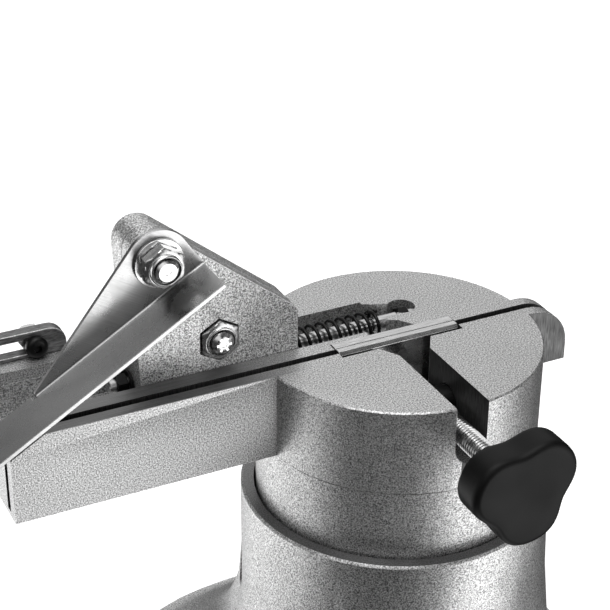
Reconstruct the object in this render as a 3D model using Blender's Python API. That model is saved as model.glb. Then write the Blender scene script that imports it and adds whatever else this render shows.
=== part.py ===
"""Swivelling slot vise: a cast arm on a turntable, with a sprung carriage and a sheet-steel lever.

Sizes are in millimetres and become metres when a mesh is finished. The frame has +Z up, its origin
on the swivel axis at bench level, and +X runs along the arm towards the head and the tail.
Heights along the arm are given from the flat top of the head, which HEAD_TOP places over the bench.
"""
import math

import bmesh
import bpy
from mathutils import Matrix, Vector

MM = 0.001
GAP = 0.3                # clearance between neighbouring pieces

# The driving sizes.
HEAD_TOP = 150.0         # flat top of the head over the bench
HEAD_R = 50.0            # round head, and nearly the turntable under it
HEAD_DEPTH = 31.4        # head and arm casting, top to underside
RIM = 92.5               # rim of the base socket
SOCKET_R = 50.7          # bore of the base socket
BASE_R = 55.35           # outside of the base socket
SOCKET_FLOOR = 60.0
ARM_END = -143.0
RAIL_FRONT = -6.0        # front face of the arm
ARM_BACK = 34.0
SLOT_HALF = 1.5          # the work slot is 3 mm wide
SLOT_DEPTH = 29.5
CHANNEL = (7.7, 27.8)    # carriage channel, across the arm
CHANNEL_DEPTH = 12.0
JAW_X = (-23.8, 22.9)    # length of both jaw plates
JAW_DEPTH = 20.2
JAW_PROUD = 0.3
SCREW_DROP = 14.0        # clamp screw under the head's top
SCREW_R = 4.0            # M8
PIVOT = (-87.5, 47.9)    # lever pivot, along the arm and over the head's top
ROD_Y = 18.0
ROD_DROP = 4.0
LEVER_DIP = math.radians(30.5)   # the handle hangs this far below level
STROKE = 12.0            # of the carriage, towards the head

PALETTE = {
    "paint": ((0.36, 0.36, 0.36), 0.45, 0.35),
    "machined": ((0.20, 0.20, 0.20), 0.40, 0.80),
    "bright": ((0.62, 0.62, 0.62), 0.22, 1.0),
    "zinc": ((0.55, 0.55, 0.56), 0.30, 1.0),
    "black_steel": ((0.03, 0.03, 0.03), 0.40, 0.60),
    "plastic": ((0.012, 0.012, 0.012), 0.38, 0.0),
    "bronze": ((0.45, 0.30, 0.14), 0.40, 1.0),
}


# ---------------------------------------------------------------- tools

def material(name):
    found = bpy.data.materials.get(name)
    if found:
        return found
    colour, roughness, metallic = PALETTE[name]
    made = bpy.data.materials.new(name)
    made.use_nodes = True
    shader = made.node_tree.nodes["Principled BSDF"]
    shader.inputs["Base Color"].default_value = (*colour, 1.0)
    shader.inputs["Roughness"].default_value = roughness
    shader.inputs["Metallic"].default_value = metallic
    return made


def turn_to(axis):
    """The rotation that carries +Z onto the named axis."""
    if axis == "X":
        return Matrix.Rotation(math.pi / 2, 3, "Y")
    if axis == "Y":
        return Matrix.Rotation(-math.pi / 2, 3, "X")
    return Matrix.Identity(3)


def to_object(bm, name):
    bmesh.ops.recalc_face_normals(bm, faces=bm.faces)
    bmesh.ops.scale(bm, vec=(MM, MM, MM), verts=bm.verts)
    mesh = bpy.data.meshes.new(name)
    bm.to_mesh(mesh)
    bm.free()
    mesh.shade_smooth()
    mesh.set_sharp_from_angle(angle=math.radians(35))
    made = bpy.data.objects.new(name, mesh)
    bpy.context.scene.collection.objects.link(made)
    return made


def stack(name, layers, centre=(0, 0, 0), axis="Z", sides=48, ring=False):
    """A solid round an axis: layers are (height, radius), and a radius may be a function of the angle.

    A ring's layers run up the outside and down the inside, and its last layer joins the first.
    """
    bm = bmesh.new()
    turned = turn_to(axis)
    loops = []
    for height, radius in layers:
        loop = []
        for step in range(sides):
            angle = 2 * math.pi * step / sides
            r = radius(angle) if callable(radius) else radius
            point = turned @ Vector((r * math.cos(angle), r * math.sin(angle), height))
            loop.append(bm.verts.new(point + Vector(centre)))
        loops.append(loop)
    pairs = list(zip(loops, loops[1:]))
    if ring:
        pairs.append((loops[-1], loops[0]))
    else:
        bm.faces.new(loops[0])
        bm.faces.new(loops[-1])
    for low, high in pairs:
        for i in range(sides):
            j = (i + 1) % sides
            bm.faces.new((low[i], low[j], high[j], high[i]))
    return to_object(bm, name)


def prism(name, outline, low, high, axis="Z", drop=0.0):
    """An outline pushed from low to high along an axis: (x, y) along Z, (x, z) along Y."""
    bm = bmesh.new()
    if axis == "Z":
        ring = [bm.verts.new((x, y, low)) for x, y in outline]
        push = (0, 0, high - low)
    else:
        ring = [bm.verts.new((x, low, drop + z)) for x, z in outline]
        push = (0, high - low, 0)
    start = bm.faces.new(ring)
    pushed = bmesh.ops.extrude_face_region(bm, geom=[start])
    moved = [v for v in pushed["geom"] if isinstance(v, bmesh.types.BMVert)]
    bmesh.ops.translate(bm, verts=moved, vec=push)
    return to_object(bm, name)


def block(name, x, y, z):
    """A box between two values along each axis, with z counted from the head's top."""
    outline = [(x[0], y[0]), (x[1], y[0]), (x[1], y[1]), (x[0], y[1])]
    return prism(name, outline, HEAD_TOP + z[0], HEAD_TOP + z[1])


def combine(target, other, operation):
    """Joins or cuts with another object, which becomes a hidden helper."""
    other.hide_render = True
    other.display_type = "WIRE"
    step = target.modifiers.new(other.name, "BOOLEAN")
    step.operation = operation
    step.solver = "EXACT"
    step.object = other


def cut(target, *cutters):
    for cutter in cutters:
        combine(target, cutter, "DIFFERENCE")


def fuse(target, *others):
    for other in others:
        combine(target, other, "UNION")


def drill(name, radius, low, high, centre, axis="Z", sides=32):
    return stack(name, [(low, radius), (high, radius)], centre, axis, sides)


def arc(centre, radius, start, end, steps):
    """Points on a circle from one angle to another, in degrees."""
    angles = [math.radians(start + (end - start) * i / steps) for i in range(steps + 1)]
    return [(centre[0] + radius * math.cos(a), centre[1] + radius * math.sin(a)) for a in angles]


def tangent_angle(point, centre, radius, side):
    """Direction, in degrees from the centre, of the spot where a line from the point touches."""
    dx, dy = point[0] - centre[0], point[1] - centre[1]
    lean = math.acos(radius / math.hypot(dx, dy))
    return math.degrees(math.atan2(dy, dx) + side * lean)


def hexagon(across_flats, turn=0.0):
    """Radius of a hexagon, with a corner at every sixth of a turn from the angle given."""
    sixth = math.pi / 3
    return lambda angle: across_flats / 2 / math.cos((angle - turn) % sixth - sixth / 2)


def hex_nut(name, start, length, across, hole, centre, axis, collar=0.0, turn=0.0):
    """A hex nut from start to start + length; a collar locks its far end."""
    way = math.copysign(1.0, length)
    flat = hexagon(across, turn)
    layers = [(start, flat), (start + length, flat)]
    if collar:
        end = start + length + way * collar
        layers += [(start + length, across * 0.44), (end, across * 0.42)]
        layers += [(end, hole), (start, hole)]
    else:
        layers += [(start + length, hole), (start, hole)]
    return stack(name, layers, centre, axis, 24, ring=True)


def hex_bolt(name, head, seat, end, across, radius, centre, axis):
    """A hex head from head to seat, with a plain shank on to end and a chamfered tip."""
    flat = hexagon(across)
    tip = end - math.copysign(0.8, end - seat)
    layers = [(head, flat), (seat, flat), (seat, radius), (tip, radius), (end, radius * 0.8)]
    return stack(name, layers, centre, axis, 24)


def washer(name, start, end, outer, hole, centre, axis):
    layers = [(start, outer), (end, outer), (end, hole), (start, hole)]
    return stack(name, layers, centre, axis, 32, ring=True)


def pivot_empty(name, x, y, z):
    made = bpy.data.objects.new(name, None)
    made.location = Vector((x, y, z)) * MM
    bpy.context.scene.collection.objects.link(made)
    return made


def give(piece, pivot, slot):
    """Hangs a piece on its joint's empty, with its mesh counted from there, and paints it."""
    piece.data.transform(Matrix.Translation(-pivot.location))
    piece.parent = pivot
    piece.data.materials.append(material(slot))
    return piece


# ---------------------------------------------------------------- base

FOOT_START = 60.0        # height at which the foot begins to grow out of the socket wall
SKIRT = 28.0             # depth under FOOT_START where the steep skirt begins to spread
FLANGE = 10.0
FLANGE_STEP = 2.0
SPOT_FACE = 0.6          # depth of the milled seat round each foot hole
COVER_R = 52.7
COVER_T = 3.0
HOLLOW_R = 42.0
FOOT_HOLES = [(-76, -50), (-76, 50), (56, -50), (56, 50)]


def foot_outline(depth, step=0.0):
    """The foot's plan at a depth under FOOT_START: an oval, longest under the arm, that spreads
    below the skirt into a soft rectangle."""
    spread = max(depth - SKIRT, 0.0) ** 2
    front = 53.65 + 0.25 * depth + 0.045 * spread + step
    rear = 44.0 + 0.20 * depth + 0.031 * spread + step
    half = 43.25 + 0.21 * depth + 0.0263 * spread + step
    power = 2.0 + 2.0 * max(depth - SKIRT, 0.0) / (FOOT_START - FLANGE - SKIRT)

    def radius(angle):
        along = front if math.cos(angle) < 0 else rear
        oval = abs(math.cos(angle) / along) ** power + abs(math.sin(angle) / half) ** power
        return max(BASE_R, oval ** (-1 / power))

    return radius


def make_base(root):
    flange_depth = FOOT_START - FLANGE
    flange = foot_outline(flange_depth, FLANGE_STEP)
    outside = [(0, foot_outline(flange_depth, FLANGE_STEP - 1.0)), (1.0, flange), (FLANGE, flange)]
    for height in (FLANGE, 12, 14, 17, 20, 24, 28, 32, 37, 42, 47, 53, FOOT_START):
        outside.append((height, foot_outline(FOOT_START - height)))
    outside += [(RIM - 0.8, BASE_R), (RIM, BASE_R - 0.8)]
    inside = [(RIM, SOCKET_R), (SOCKET_FLOOR, SOCKET_R), (SOCKET_FLOOR, 6.3)]
    inside += [(SOCKET_FLOOR - 8, 6.3), (SOCKET_FLOOR - 8, HOLLOW_R - 4), (COVER_T + GAP, HOLLOW_R)]
    inside += [(COVER_T + GAP, COVER_R + GAP), (0, COVER_R + GAP)]
    base = stack("base_casting", outside + inside, sides=60, ring=True)
    for number, (x, y) in enumerate(FOOT_HOLES):
        cut(base, drill(f"foot_hole_{number}", 3.3, -5, 30, (x, y, 0)))
        cut(base, drill(f"foot_spot_{number}", 7.0, FLANGE - SPOT_FACE, 60, (x, y, 0)))
    give(base, root, "paint")

    cover = stack("bottom_cover", [(0, COVER_R), (COVER_T, COVER_R)], sides=60)
    for number in range(3):
        angle = 2 * math.pi * (number + 0.5) / 3
        spot = (47.5 * math.cos(angle), 47.5 * math.sin(angle), 0)
        cut(base, drill(f"cover_tapping_{number}", 2.3, 0, 12, spot, sides=16))
        sink = [(-0.2, 4.3), (2.2, 2.3), (5, 2.3)]
        cut(cover, stack(f"cover_sink_{number}", sink, spot, sides=16))
        screw = [(0.2, 3.6), (0.4, 3.6), (2.3, 2.0), (11, 2.0)]
        give(stack(f"cover_screw_{number + 1}", screw, spot, sides=16), root, "zinc")
    give(cover, root, "black_steel")
    thrust = washer("thrust_washer", SOCKET_FLOOR + GAP, SOCKET_FLOOR + 1.5, 20, 6.6, (0, 0, 0), "Z")
    give(thrust, root, "bronze")


# ---------------------------------------------------------------- turntable

TABLE_LOW = SOCKET_FLOOR + 1.8
TABLE_TOP = HEAD_TOP - HEAD_DEPTH - GAP
HEAD_SCREWS = [(-24, -22), (24, -22), (18, 26)]
SOFFIT = 104.0           # ceiling of the hollow under the turntable


def make_turntable(swivel):
    shape = [(TABLE_LOW, HEAD_R - 0.8), (TABLE_LOW + 0.7, HEAD_R - 0.1), (TABLE_TOP, HEAD_R - 0.1)]
    table = stack("turntable", shape, sides=60)
    hollow = [(TABLE_LOW - 5, 43.0), (SOFFIT, 41.0), (SOFFIT, 14.0), (TABLE_LOW - 5, 16.0)]
    cut(table, stack("turntable_hollow", hollow, sides=36, ring=True))
    cut(table, drill("kingpin_hole", 6.3, TABLE_LOW - 5, 100, (0, 0, 0)))
    for number, (x, y) in enumerate(HEAD_SCREWS):
        cut(table, drill(f"head_screw_hole_{number}", 3.3, SOFFIT - 5, TABLE_TOP + 5, (x, y, 0), sides=16))
        screw = hex_bolt(f"head_screw_{number + 1}", SOFFIT - GAP - 4, SOFFIT - GAP, 128.0, 10, 3.0,
                         (x, y, 0), "Z")
        give(screw, swivel, "zinc")
    give(table, swivel, "paint")

    pin = [(38, 4.8), (39, 6.0), (98.7, 6.0), (99.7, 5.2)]
    give(stack("kingpin", pin, sides=24), swivel, "zinc")
    under = SOCKET_FLOOR - 8
    give(washer("wave_washer", under - 1.8, under - GAP, 12.5, 6.5, (0, 0, 0), "Z"), swivel, "bright")
    nut = hex_nut("kingpin_nut", under - 2.1, -10, 19, 6.3, (0, 0, 0), "Z")
    give(nut, swivel, "zinc")


# ---------------------------------------------------------------- head and arm casting

TAIL_END = 66.0
TAIL_ROUND = 15.0
POCKET_FRONT = -4.5
JAW_BACK = 5.0
CROSS_HALF = 6.0
BARREL_Y = -24.0
BARREL_R = 5.7
WALL_STEP = -98.0        # left of this the rear wall of the arm stands higher
WALL_RISE = 4.5
ROD_R = 2.5
RECESS = (11.6, 18.9, 5.0)


def make_head(swivel):
    low = HEAD_TOP - HEAD_DEPTH
    shape = [(low, HEAD_R), (HEAD_TOP - 0.5, HEAD_R), (HEAD_TOP, HEAD_R - 0.5)]
    head = stack("head_body", shape, sides=96)
    fuse(head, block("arm", (ARM_END, -20), (RAIL_FRONT, ARM_BACK), (-HEAD_DEPTH, 0)))
    fuse(head, block("wall_rise", (ARM_END, WALL_STEP), (28.0, ARM_BACK), (-5, WALL_RISE)))
    nose = [(40, 0)] + arc((TAIL_END - TAIL_ROUND, -TAIL_ROUND), TAIL_ROUND, 90, 0, 8)
    nose += [(TAIL_END, -22), (40, -22)]
    fuse(head, prism("tail", nose, RAIL_FRONT, -RAIL_FRONT, "Y", HEAD_TOP))

    slot = block("work_slot", (-160, 80), (-SLOT_HALF, SLOT_HALF), (-SLOT_DEPTH, 10))
    channel = block("channel", (-160, -0.5), CHANNEL, (-CHANNEL_DEPTH, 10))
    pocket = block("jaw_pocket", (JAW_X[0] - GAP, JAW_X[1] + GAP), (POCKET_FRONT, JAW_BACK + GAP),
                   (-JAW_DEPTH - GAP, 10))
    cut(head, slot, channel, pocket)
    bottom = arc((0, -16), CROSS_HALF, 180, 360, 12)
    cross = [(-CROSS_HALF, 10)] + bottom + [(CROSS_HALF, 10)]
    cut(head, prism("cross_slot", cross, -60, POCKET_FRONT + 0.5, "Y", HEAD_TOP))
    lead = [(-10.3, -4.2), (-6, -11.4), (6, -11.4), (10.3, -4.2)]
    cut(head, prism("lead_in", lead, HEAD_TOP - 18, HEAD_TOP + 10))
    barrel = drill("barrel_hole", BARREL_R + GAP, -15.3, 60, (0, BARREL_Y, HEAD_TOP - SCREW_DROP), "X")
    cut(head, barrel)

    neck = [(-1, 26.5), (2.2, 24.8), (8, 22.8), (8, 14.6), (2.9, 14.2), (2.9, 11.9), (-1, 11.9)]
    cut(head, prism("spring_neck", neck, HEAD_TOP - 9.8, HEAD_TOP + 10))
    relief = [(-8.6, 4.8), (9.6, 4.8), (5.8, 10.4), (1.3, 12.4), (-8.6, 12.4)]
    cut(head, prism("jaw_relief", relief, HEAD_TOP - 9.0, HEAD_TOP + 10))
    x, y, r = RECESS
    cut(head, drill("nut_recess", r, HEAD_TOP - 8.6, HEAD_TOP + 10, (x, y, 0)))
    rod_at = (0, ROD_Y, HEAD_TOP - ROD_DROP)
    cut(head, drill("rod_socket", ROD_R + GAP, 5, 29.5, rod_at, "X", 16))
    for number, (x, y) in enumerate(HEAD_SCREWS):
        cut(head, drill(f"head_tapping_{number}", 3.3, low - 5, low + 10, (x, y, 0), sides=16))
    for number, x in enumerate(JAW_SCREWS):
        spot = (x, 0, HEAD_TOP + JAW_SCREW_Z)
        cut(head, drill(f"jaw_tapping_{number}", 2.3, 4, 16.3, spot, "Y", 16))
    for number, x in enumerate(FENCE_SCREWS):
        spot = (x, 0, HEAD_TOP + FENCE_SCREW_Z)
        cut(head, drill(f"fence_tapping_{number}", 2.3, 28.6, 40, spot, "Y", 16))
    for number, x in enumerate(GIB_SCREWS):
        spot = (x, 0, HEAD_TOP + GIB_SCREW_Z)
        cut(head, drill(f"gib_tapping_{number}", 2.3, 25, 40, spot, "Y", 16))
    # The lever hangs past the arm's end, so the end slopes with it and clears the carriage's stroke.
    under = FOLD + 0.7
    slope = [along_lever(40, under), along_lever(90, under)]
    slope = [(x + STROKE, z) for x, z in slope]
    slope += [(slope[1][0], 20), (slope[0][0], 20)]
    cut(head, prism("lever_clearance", slope, -12, LEVER_Y[1] + 0.9, "Y", HEAD_TOP))
    give(head, swivel, "paint")

    nut = drill("barrel_nut", BARREL_R, -15, 15, (0, BARREL_Y, HEAD_TOP - SCREW_DROP), "X", 32)
    bore = drill("barrel_bore", SCREW_R + GAP, BARREL_Y - 10, BARREL_Y + 10,
                 (0, 0, HEAD_TOP - SCREW_DROP), "Y", 24)
    cut(nut, bore)
    give(nut, swivel, "black_steel")


# ---------------------------------------------------------------- jaws and their clamp

JAW_SCREWS = (-15.0, 15.0)
JAW_SCREW_Z = -15.8
FRONT_JAW = (-2.1, 1.2)
PAD_R = 5.0
KNOB = (-84.0, -72.0)
KNOB_R = 20.0
SCALLOP = 4.8            # how far the finger scallops come in
LOBE_AT = math.radians(40)


def jaw_outline(back, front, proud, edge):
    """Section of a jaw plate across its length, with a bevel along its top front edge."""
    low = -JAW_DEPTH
    return [(back, low), (back, proud), (front + edge, proud), (front, proud - edge), (front, low)]


def jaw_plate(name, section):
    """A jaw section, (y, z), pushed along the length of the jaws."""
    bm = bmesh.new()
    ring = [bm.verts.new((JAW_X[0], y, HEAD_TOP + z)) for y, z in section]
    pushed = bmesh.ops.extrude_face_region(bm, geom=[bm.faces.new(ring)])
    moved = [v for v in pushed["geom"] if isinstance(v, bmesh.types.BMVert)]
    bmesh.ops.translate(bm, verts=moved, vec=(JAW_X[1] - JAW_X[0], 0, 0))
    return to_object(bm, name)


def make_jaws(swivel, jaw):
    rear = jaw_plate("rear_jaw", jaw_outline(JAW_BACK, SLOT_HALF, JAW_PROUD, 0.3))
    for number, x in enumerate(JAW_SCREWS):
        spot = (x, 0, HEAD_TOP + JAW_SCREW_Z)
        sink = [(1.0, 4.0), (1.8, 4.0), (3.6, 2.3), (10, 2.3)]
        cut(rear, stack(f"jaw_sink_{number}", sink, spot, "Y", 16))
        screw = [(1.7, 3.5), (2.0, 3.5), (3.7, 2.0), (16, 2.0)]
        give(stack(f"jaw_screw_{number + 1}", screw, spot, "Y", 16), swivel, "black_steel")
    give(rear, swivel, "bright")

    back, front = FRONT_JAW[1], FRONT_JAW[0]
    give(jaw_plate("front_jaw", jaw_outline(back, front, JAW_PROUD, 1.2)), jaw, "bright")
    axis_at = (0, 0, HEAD_TOP - SCREW_DROP)
    pad_shape = [(FRONT_JAW[0] - GAP, PAD_R), (FRONT_JAW[0] - 2.0, PAD_R), (FRONT_JAW[0] - 2.6, 4.2)]
    give(stack("pressure_pad", pad_shape, axis_at, "Y", 32), jaw, "bright")


def knob_radius(angle):
    """Three broad lobes with a finger scallop between each two, counted from +X towards +Z."""
    return KNOB_R - SCALLOP * (0.5 - 0.5 * math.cos(3 * (angle - LOBE_AT))) ** 1.6


def make_clamp(clamp):
    axis_at = (0, 0, HEAD_TOP - SCREW_DROP)
    tip = FRONT_JAW[0] - 2.6 - GAP
    shape = [(KNOB[0] + 4.3, SCREW_R), (tip - 0.8, SCREW_R), (tip, SCREW_R * 0.75)]
    give(stack("clamp_screw", shape, axis_at, "Y", 24), clamp, "zinc")

    def scaled(share):
        return lambda angle: knob_radius(-angle) * share

    outside = [(KNOB[0], scaled(0.84)), (KNOB[0] + 1.5, scaled(0.96)), (KNOB[0] + 4.0, scaled(1.0))]
    outside += [(KNOB[1] - 2.0, scaled(1.0)), (KNOB[1], scaled(0.90)), (KNOB[1], SCREW_R + GAP)]
    layers = outside + [(KNOB[0] + 4.0, SCREW_R + GAP), (KNOB[0] + 4.0, 0.4)]
    knob = stack("clamp_knob", [(KNOB[0], 0.4)] + layers, axis_at, "Y", 48, ring=True)
    give(knob, clamp, "plastic")


# ---------------------------------------------------------------- carriage

CHEEKS = {"front_cheek": (8.0, 13.4), "slide_block": (13.7, 21.25), "rear_cheek": (21.5, 23.0)}
CARRIAGE_X = (-92.8, -34.9)
BOSS_R = 8.0
LOW_BOLT = (-64.1, 10.5)
NUT_ACROSS = 13.0        # M8
NUT_TURN = math.pi / 6   # both lock nuts stand with a corner up
POCKET_FLOOR = 11.6      # of the hexagonal pocket that holds the lower nut
BOLT_R = 4.0
SINK_R = 6.6             # countersunk heads at the back of the carriage
BOLT_HEAD = 22.8
ROD_BORE = 2.65
GIB = ((-96.0, -38.0), (23.3, 27.5), (-11.7, -1.0))
GIB_SCREWS = (-85.0, -50.0)
GIB_SCREW_Z = -6.0
LEVER_Y = (1.7, 3.2)


def carriage_outline():
    low = -CHANNEL_DEPTH + GAP
    left, right = CARRIAGE_X
    shoulder = (right - 1.6, 17.3)
    rise = tangent_angle(shoulder, PIVOT, BOSS_R, 1)
    fall = tangent_angle((left, 0), PIVOT, BOSS_R, -1) + 360
    boss = arc(PIVOT, BOSS_R, rise, fall, 12)
    return [(left, low), (right, low), (right, 15.0), shoulder] + boss + [(left, 0)]


def make_carriage(slide):
    for name, (near, far) in CHEEKS.items():
        plate = prism(name, carriage_outline(), near, far, "Y", HEAD_TOP)
        for tag, (x, z) in (("pivot", PIVOT), ("low", LOW_BOLT)):
            at = (x, 0, HEAD_TOP + z)
            cut(plate, drill(f"{name}_{tag}_hole", 4.3, 0, 40, at, "Y", 24))
            if name != "front_cheek":
                room = SINK_R + 0.42
                sink = [(BOLT_HEAD - 3.8, room - 3.8), (BOLT_HEAD + 1.2, room + 1.2)]
                cut(plate, stack(f"{name}_{tag}_sink", sink, at, "Y", 24))
        if name == "slide_block":
            rod_at = (0, ROD_Y, HEAD_TOP - ROD_DROP)
            cut(plate, drill("rod_bore", ROD_BORE, -110, 0, rod_at, "X", 24))
        if name == "front_cheek":
            x, z = LOW_BOLT
            room = hexagon(NUT_ACROSS + 1.0, NUT_TURN)
            pocket = [(near - 4, room), (POCKET_FLOOR, room)]
            cut(plate, stack("nut_pocket", pocket, (x, 0, HEAD_TOP + z), "Y", 24))
        give(plate, slide, "paint")

    for name, (x, z), end in (("lower_bolt", LOW_BOLT, 4.0), ("pivot_bolt", PIVOT, -6.8)):
        cone = BOLT_HEAD - SINK_R + BOLT_R
        shape = [(BOLT_HEAD, SINK_R), (cone, BOLT_R), (end + 0.8, BOLT_R), (end, BOLT_R - 0.8)]
        give(stack(name, shape, (x, 0, HEAD_TOP + z), "Y", 24), slide, "zinc")
    x, z = LOW_BOLT
    at = (x, 0, HEAD_TOP + z)
    nut = hex_nut("lower_nut", POCKET_FLOOR - GAP, -4.9, NUT_ACROSS, 4.3, at, "Y", 0.6, NUT_TURN)
    give(nut, slide, "zinc")
    x, z = PIVOT
    at = (x, 0, HEAD_TOP + z)
    give(washer("pivot_spacer", 3.5, 7.7, 7.0, 4.3, at, "Y"), slide, "bright")
    give(washer("pivot_washer", 0.2, 1.4, 8.5, 4.3, at, "Y"), slide, "zinc")
    nut = hex_nut("pivot_nut", -0.1, -4.5, NUT_ACROSS, 4.3, at, "Y", 1.4, NUT_TURN)
    give(nut, slide, "zinc")


def make_gib(swivel):
    """A strip that fills the channel behind the carriage, pushed up to it by two set screws."""
    give(block("gib_strip", *GIB), swivel, "machined")
    for number, x in enumerate(GIB_SCREWS, 1):
        screw = [(GIB[1][1] + GAP, 1.2), (GIB[1][1] + GAP + 0.6, 2.0), (ARM_BACK - 0.4, 2.0)]
        at = (x, 0, HEAD_TOP + GIB_SCREW_Z)
        give(stack(f"gib_screw_{number}", screw, at, "Y", 16), swivel, "black_steel")


# ---------------------------------------------------------------- lever

FOLD = 12.6              # the handle strip's outer face, from the pivot
SHEET = 1.5
EAR_R = 11.0
EAR_ENDS = (-11.6, 56.6)  # the ear's two corners on the fold, along the handle
STRIP_OUT = -14.8
HANDLE_END = 165.0
HANDLE_ROUND = 7.0


def along_lever(s, n):
    """From the lever's own directions, along the handle and away from the pivot, to (x, z)."""
    c, d = math.cos(LEVER_DIP), math.sin(LEVER_DIP)
    return (PIVOT[0] - s * c + n * d, PIVOT[1] - s * d - n * c)


def make_lever(lever):
    tip_near, tip_far = EAR_ENDS
    start = tangent_angle((tip_far, FOLD), (0, 0), EAR_R, -1)
    end = tangent_angle((tip_near, FOLD), (0, 0), EAR_R, 1) - 360
    ear = [(tip_near, FOLD), (tip_far, FOLD)] + arc((0, 0), EAR_R, start, end, 20)
    plate = prism("lever", [along_lever(s, n) for s, n in ear], *LEVER_Y, "Y", HEAD_TOP)

    near_y, out_y = LEVER_Y[1], STRIP_OUT
    corner = HANDLE_END - HANDLE_ROUND
    strip = [(tip_near, near_y)]
    strip += arc((corner, near_y - HANDLE_ROUND), HANDLE_ROUND, 90, 0, 5)
    strip += arc((corner, out_y + HANDLE_ROUND), HANDLE_ROUND, 0, -90, 5)
    strip += [(tip_near + 1.2, out_y)]
    bm = bmesh.new()
    ring = []
    for s, y in strip:
        x, z = along_lever(s, FOLD - SHEET)
        ring.append(bm.verts.new((x, y, HEAD_TOP + z)))
    pushed = bmesh.ops.extrude_face_region(bm, geom=[bm.faces.new(ring)])
    moved = [v for v in pushed["geom"] if isinstance(v, bmesh.types.BMVert)]
    push = (SHEET * math.sin(LEVER_DIP), 0, -SHEET * math.cos(LEVER_DIP))
    bmesh.ops.translate(bm, verts=moved, vec=push)
    fuse(plate, to_object(bm, "handle_strip"))
    at = (PIVOT[0], 0, HEAD_TOP + PIVOT[1])
    cut(plate, drill("lever_hole", 4.3, -5, 8, at, "Y", 24))
    give(plate, lever, "bright")


# ---------------------------------------------------------------- rod, spring and fence

SPRING_R = 4.65          # to the middle of the wire
WIRE_R = 0.65
SPRING_X = (-34.2, 1.5)
SPRING_TURNS = 10
TURN_POINTS = 10
FENCE_X = (ARM_END, -109.0)
FENCE_Y = (ARM_BACK + GAP, 38.6)
FENCE_Z = (-16.0, 14.0)
FENCE_SCREWS = (-136.0, -116.0)
FENCE_SCREW_Z = -9.0
FENCE_SLOT = (-133.0, -119.0, 8.6, 2.7)


def make_spring(swivel):
    """One round wire wound as a helix, with its end coils closed up."""
    curve = bpy.data.curves.new("return_spring", "CURVE")
    curve.dimensions = "3D"
    curve.bevel_depth = WIRE_R * MM
    curve.bevel_resolution = 1
    curve.use_fill_caps = True
    steps = SPRING_TURNS * TURN_POINTS
    line = curve.splines.new("POLY")
    line.points.add(steps)
    low = SPRING_X[0] + WIRE_R
    high = SPRING_X[1] - WIRE_R
    closed = 2 * WIRE_R + 0.15
    open_pitch = (high - low - 2 * closed) / (SPRING_TURNS - 2)
    for i, point in enumerate(line.points):
        turn = i / TURN_POINTS
        angle = 2 * math.pi * turn
        middle = min(max(turn - 1, 0), SPRING_TURNS - 2)
        ends = min(turn, 1) + max(turn - SPRING_TURNS + 1, 0)
        x = low + closed * ends + open_pitch * middle
        y = ROD_Y + SPRING_R * math.cos(angle)
        z = HEAD_TOP - ROD_DROP + SPRING_R * math.sin(angle)
        point.co = (*(Vector((x, y, z)) * MM - swivel.location), 1.0)
    spring = bpy.data.objects.new("return_spring", curve)
    bpy.context.scene.collection.objects.link(spring)
    spring.parent = swivel
    curve.materials.append(material("black_steel"))


def make_rod(swivel):
    at = (0, ROD_Y, HEAD_TOP - ROD_DROP)
    rod = [(-101, 2.0), (-100.4, ROD_R), (28.6, ROD_R), (29.2, 2.0)]
    give(stack("guide_rod", rod, at, "X", 20), swivel, "bright")
    give(hex_nut("rod_lock_nut", 9.3, 4.0, 7.0, ROD_R + GAP, at, "X"), swivel, "black_steel")
    left = CARRIAGE_X[0]
    stop = washer("rod_stop_washer", left - 1.3, left - GAP, 4.6, ROD_R + GAP, at, "X")
    give(stop, swivel, "black_steel")
    nut = hex_nut("rod_stop_nut", left - 1.6, -4.0, 7.0, ROD_R + GAP, at, "X")
    give(nut, swivel, "black_steel")


def make_fence(swivel):
    left, right = FENCE_X
    low, high = FENCE_Z
    outline = [(left, low), (right, low)] + arc((right - 6, high - 6), 6, 0, 90, 6) + [(left, high)]
    fence = prism("rear_fence", outline, *FENCE_Y, "Y", HEAD_TOP)
    for number, x in enumerate(FENCE_SCREWS):
        spot = (x, 0, HEAD_TOP + FENCE_SCREW_Z)
        cut(fence, drill(f"fence_hole_{number}", 2.3, 30, 45, spot, "Y", 16))
        screw = [(42.4, 2.6), (41.9, 3.5), (38.9, 3.5), (38.9, 2.0), (28.9, 2.0)]
        give(stack(f"fence_screw_{number + 1}", screw, spot, "Y", 16), swivel, "black_steel")
    near, far, height, half = FENCE_SLOT
    slot = arc((near, height), half, 90, 270, 6) + arc((far, height), half, -90, 90, 6)
    cut(fence, prism("fence_slot", slot, 30, 45, "Y", HEAD_TOP))
    give(fence, swivel, "machined")
    at = (far - 1.0, 0, HEAD_TOP + height)
    screw = [(31.0, 2.9), (31.5, 3.9), (34.0, 3.9), (34.0, 2.2), (44.0, 2.2)]
    give(stack("stop_screw", screw, at, "Y", 20), swivel, "black_steel")
    give(hex_nut("stop_nut", 38.9, 3.6, 8.0, 2.5, at, "Y"), swivel, "zinc")


# ---------------------------------------------------------------- assembly

for old in list(bpy.data.objects):
    bpy.data.objects.remove(old)

bench = pivot_empty("bench_origin", 0, 0, 0)
swivel_axis = pivot_empty("swivel_axis", 0, 0, SOCKET_FLOOR)
jaw_axis = pivot_empty("jaw_guide", 0, 0, HEAD_TOP - SCREW_DROP)
clamp_axis = pivot_empty("clamp_axis", 0, KNOB[1], HEAD_TOP - SCREW_DROP)
carriage_axis = pivot_empty("carriage_guide", CARRIAGE_X[0], ROD_Y, HEAD_TOP - ROD_DROP)
lever_axis = pivot_empty("lever_pivot", PIVOT[0], 0, HEAD_TOP + PIVOT[1])

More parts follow.
